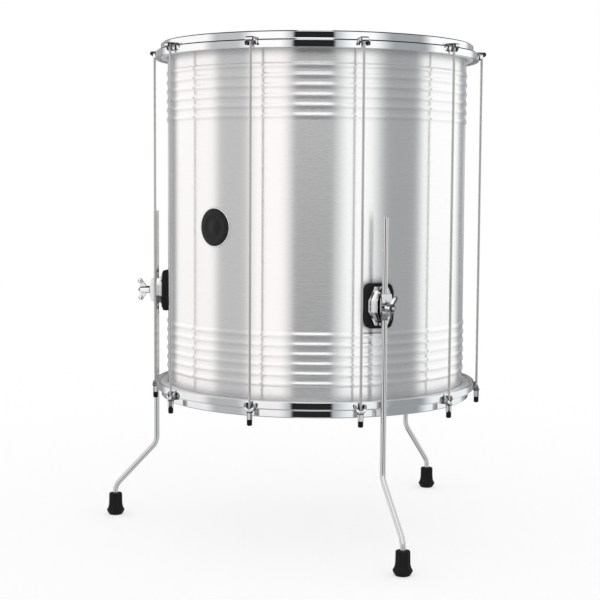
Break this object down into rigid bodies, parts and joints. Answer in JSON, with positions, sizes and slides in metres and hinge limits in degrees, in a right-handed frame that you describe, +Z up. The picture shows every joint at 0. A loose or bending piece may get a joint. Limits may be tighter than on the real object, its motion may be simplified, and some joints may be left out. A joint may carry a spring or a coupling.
{
  "type": "floor surdo drum",
  "caption": "Free-standing deep drum: beaded aluminium shell between chromed hoops with tension rods, on bent legs clamped in side brackets.",
  "frame": {"origin": "on the floor under the middle of the outline, feet included", "axes": "+Z up along the drum axis, -Y towards the badge"},
  "size_m": [0.7136, 0.71, 0.904],
  "materials": {
    "shell_aluminium": "satin, finely brushed around the drum",
    "chrome": "bright chrome plate",
    "head_film": "milky plastic film in a metal flesh hoop",
    "badge_black": "smooth black disc with a thin bright edge, no lettering",
    "rubber": "matt black moulded rubber",
    "plain_steel": "zinc-plated sheet"
  },
  "bodies": {
    "root": {"shell": "shell_aluminium", "top_hoop": "chrome", "bottom_hoop": "chrome", "batter_head": "head_film", "resonant_head": "head_film", "badge": "badge_black", "hook_rod_01": "chrome", "bottom_claw_01": "chrome", "hook_rod_02": "chrome", "bottom_claw_02": "chrome", "hook_rod_03": "chrome", "bottom_claw_03": "chrome", "hook_rod_04": "chrome", "bottom_claw_04": "chrome", "hook_rod_05": "chrome", "bottom_claw_05": "chrome", "hook_rod_06": "chrome", "bottom_claw_06": "chrome", "hook_rod_07": "chrome", "bottom_claw_07": "chrome", "hook_rod_08": "chrome", "bottom_claw_08": "chrome", "hook_rod_09": "chrome", "bottom_claw_09": "chrome", "hook_rod_10": "chrome", "bottom_claw_10": "chrome", "bracket_gasket_1": "rubber", "bracket_base_1": "chrome", "backing_plate_1": "plain_steel", "eye_bolt_1": "chrome", "bracket_gasket_2": "rubber", "bracket_base_2": "chrome", "backing_plate_2": "plain_steel", "eye_bolt_2": "chrome", "bracket_gasket_3": "rubber", "bracket_base_3": "chrome", "backing_plate_3": "plain_steel", "eye_bolt_3": "chrome"},
    "leg_1_body": {"leg_1": "chrome", "foot_1": "rubber"},
    "jaw_1_body": {"clamp_jaw_1": "chrome"},
    "wing_1_body": {"wing_nut_1": "chrome"},
    "leg_2_body": {"leg_2": "chrome", "foot_2": "rubber"},
    "jaw_2_body": {"clamp_jaw_2": "chrome"},
    "wing_2_body": {"wing_nut_2": "chrome"},
    "leg_3_body": {"leg_3": "chrome", "foot_3": "rubber"},
    "jaw_3_body": {"clamp_jaw_3": "chrome"},
    "wing_3_body": {"wing_nut_3": "chrome"},
    "nut_01_body": {"tuning_nut_01": "chrome"},
    "nut_02_body": {"tuning_nut_02": "chrome"},
    "nut_03_body": {"tuning_nut_03": "chrome"},
    "nut_04_body": {"tuning_nut_04": "chrome"},
    "nut_05_body": {"tuning_nut_05": "chrome"},
    "nut_06_body": {"tuning_nut_06": "chrome"},
    "nut_07_body": {"tuning_nut_07": "chrome"},
    "nut_08_body": {"tuning_nut_08": "chrome"},
    "nut_09_body": {"tuning_nut_09": "chrome"},
    "nut_10_body": {"tuning_nut_10": "chrome"}
  },
  "joints": [
    {"name": "leg_1_height", "type": "slide", "parent": "root", "child": "leg_1_body", "axis": [0, 0, 1], "range_m": [-0.12, 0.24]},
    {"name": "clamp_jaw_1_slide", "type": "slide", "parent": "root", "child": "jaw_1_body", "axis": [0.8788, -0.4772, 0], "range_m": [0, 0.00254]},
    {"name": "wing_nut_1_turn", "type": "hinge", "parent": "jaw_1_body", "child": "wing_1_body", "pos_m": [0.28478, -0.21146, 0.442], "axis": [0.8788, -0.4772, 0], "range_deg": [0, 720]},
    {"name": "leg_2_height", "type": "slide", "parent": "root", "child": "leg_2_body", "axis": [0, 0, 1], "range_m": [-0.12, 0.24]},
    {"name": "clamp_jaw_2_slide", "type": "slide", "parent": "root", "child": "jaw_2_body", "axis": [-0.0262, 0.9997, 0], "range_m": [0, 0.00254]},
    {"name": "wing_nut_2_turn", "type": "hinge", "parent": "jaw_2_body", "child": "wing_2_body", "pos_m": [-0.01387, 0.27589, 0.442], "axis": [-0.0262, 0.9997, 0], "range_deg": [0, 720]},
    {"name": "leg_3_height", "type": "slide", "parent": "root", "child": "leg_3_body", "axis": [0, 0, 1], "range_m": [-0.12, 0.24]},
    {"name": "clamp_jaw_3_slide", "type": "slide", "parent": "root", "child": "jaw_3_body", "axis": [-0.8526, -0.5225, 0], "range_m": [0, 0.00254]},
    {"name": "wing_nut_3_turn", "type": "hinge", "parent": "jaw_3_body", "child": "wing_3_body", "pos_m": [-0.2866, -0.22642, 0.442], "axis": [-0.8526, -0.5225, 0], "range_deg": [0, 720]},
    {"name": "tuning_nut_01_turn", "type": "hinge", "parent": "root", "child": "nut_01_body", "pos_m": [0.08948, -0.3455, 0.253], "axis": [0, 0, 1], "continuous": true},
    {"name": "tuning_nut_02_turn", "type": "hinge", "parent": "root", "child": "nut_02_body", "pos_m": [0.24273, -0.23415, 0.253], "axis": [0, 0, 1], "continuous": true},
    {"name": "tuning_nut_03_turn", "type": "hinge", "parent": "root", "child": "nut_03_body", "pos_m": [0.30127, -0.054, 0.253], "axis": [0, 0, 1], "continuous": true},
    {"name": "tuning_nut_04_turn", "type": "hinge", "parent": "root", "child": "nut_04_body", "pos_m": [0.24273, 0.12616, 0.253], "axis": [0, 0, 1], "continuous": true},
    {"name": "tuning_nut_05_turn", "type": "hinge", "parent": "root", "child": "nut_05_body", "pos_m": [0.08948, 0.2375, 0.253], "axis": [0, 0, 1], "continuous": true},
    {"name": "tuning_nut_06_turn", "type": "hinge", "parent": "root", "child": "nut_06_body", "pos_m": [-0.09994, 0.2375, 0.253], "axis": [0, 0, 1], "continuous": true},
    {"name": "tuning_nut_07_turn", "type": "hinge", "parent": "root", "child": "nut_07_body", "pos_m": [-0.25319, 0.12616, 0.253], "axis": [0, 0, 1], "continuous": true},
    {"name": "tuning_nut_08_turn", "type": "hinge", "parent": "root", "child": "nut_08_body", "pos_m": [-0.31173, -0.054, 0.253], "axis": [0, 0, 1], "continuous": true},
    {"name": "tuning_nut_09_turn", "type": "hinge", "parent": "root", "child": "nut_09_body", "pos_m": [-0.25319, -0.23415, 0.253], "axis": [0, 0, 1], "continuous": true},
    {"name": "tuning_nut_10_turn", "type": "hinge", "parent": "root", "child": "nut_10_body", "pos_m": [-0.09994, -0.3455, 0.253], "axis": [0, 0, 1], "continuous": true}
  ],
  "couplings": [
    {"joint": "wing_nut_1_turn", "follows": "clamp_jaw_1_slide", "rad_per_m": 4947.3},
    {"joint": "wing_nut_2_turn", "follows": "clamp_jaw_2_slide", "rad_per_m": 4947.3},
    {"joint": "wing_nut_3_turn", "follows": "clamp_jaw_3_slide", "rad_per_m": 4947.3}
  ]
}
